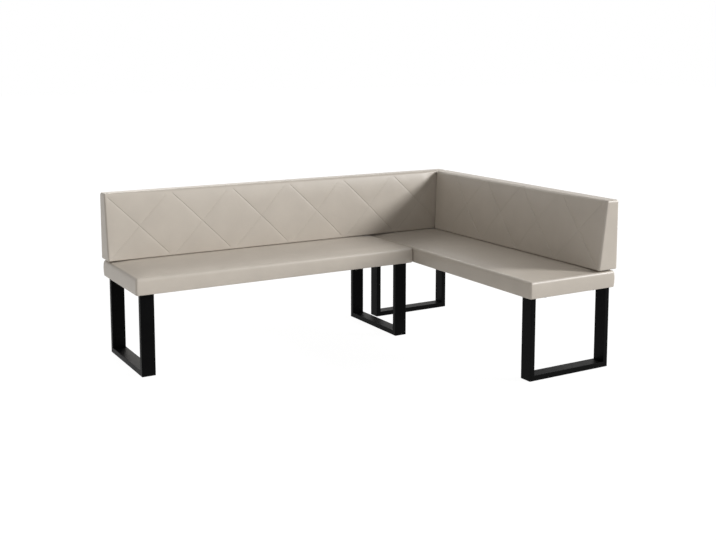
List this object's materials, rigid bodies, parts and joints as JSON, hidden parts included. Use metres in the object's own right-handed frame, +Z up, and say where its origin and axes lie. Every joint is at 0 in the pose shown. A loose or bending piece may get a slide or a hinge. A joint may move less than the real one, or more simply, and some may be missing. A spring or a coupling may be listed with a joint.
{
  "type": "corner bench",
  "caption": "L-shaped upholstered corner bench with thin padded seats, tapered diamond-quilted backrests and closed skid legs of flat rectangular steel tube.",
  "frame": {"origin": "on the floor, under the middle of the overall box", "axes": "+X along the long bench towards the corner, +Y to the rear of the long bench, +Z up"},
  "size_m": [2, 1.454, 0.8],
  "materials": {
    "upholstery": "greige imitation leather, fine grain, satin",
    "powder_coat": "black powder coat, fine texture, satin",
    "plywood": "raw birch plywood",
    "foam": "cut polyurethane foam",
    "lining": "black non-woven dust lining",
    "zinc_steel": "bright zinc plate",
    "felt": "dark needle felt"
  },
  "bodies": {
    "root": {"corner_leg_floor_runner": "powder_coat", "corner_leg_front_upright": "powder_coat", "corner_leg_rear_upright": "powder_coat", "corner_leg_top_rail": "powder_coat", "inner_leg_floor_runner": "powder_coat", "inner_leg_front_upright": "powder_coat", "inner_leg_rear_upright": "powder_coat", "inner_leg_top_rail": "powder_coat", "joining_plates": "zinc_steel", "joining_screws": "zinc_steel", "left_leg_floor_runner": "powder_coat", "left_leg_front_upright": "powder_coat", "left_leg_rear_upright": "powder_coat", "left_leg_top_rail": "powder_coat", "long_back_brackets": "zinc_steel", "long_back_cover": "upholstery", "long_back_foam": "foam", "long_back_panel": "plywood", "long_back_quilt": "upholstery", "long_bracket_screws": "zinc_steel", "long_glides": "felt", "long_leg_bolts": "zinc_steel", "long_seat_board": "plywood", "long_seat_cover": "upholstery", "long_seat_foam": "foam", "long_seat_lining": "lining", "long_tee_nuts": "zinc_steel", "right_leg_floor_runner": "powder_coat", "right_leg_front_upright": "powder_coat", "right_leg_rear_upright": "powder_coat", "right_leg_top_rail": "powder_coat", "short_back_brackets": "zinc_steel", "short_back_cover": "upholstery", "short_back_foam": "foam", "short_back_panel": "plywood", "short_back_quilt": "upholstery", "short_bracket_screws": "zinc_steel", "short_glides": "felt", "short_leg_bolts": "zinc_steel", "short_seat_board": "plywood", "short_seat_cover": "upholstery", "short_seat_foam": "foam", "short_seat_lining": "lining", "short_tee_nuts": "zinc_steel"}
  },
  "joints": []
}
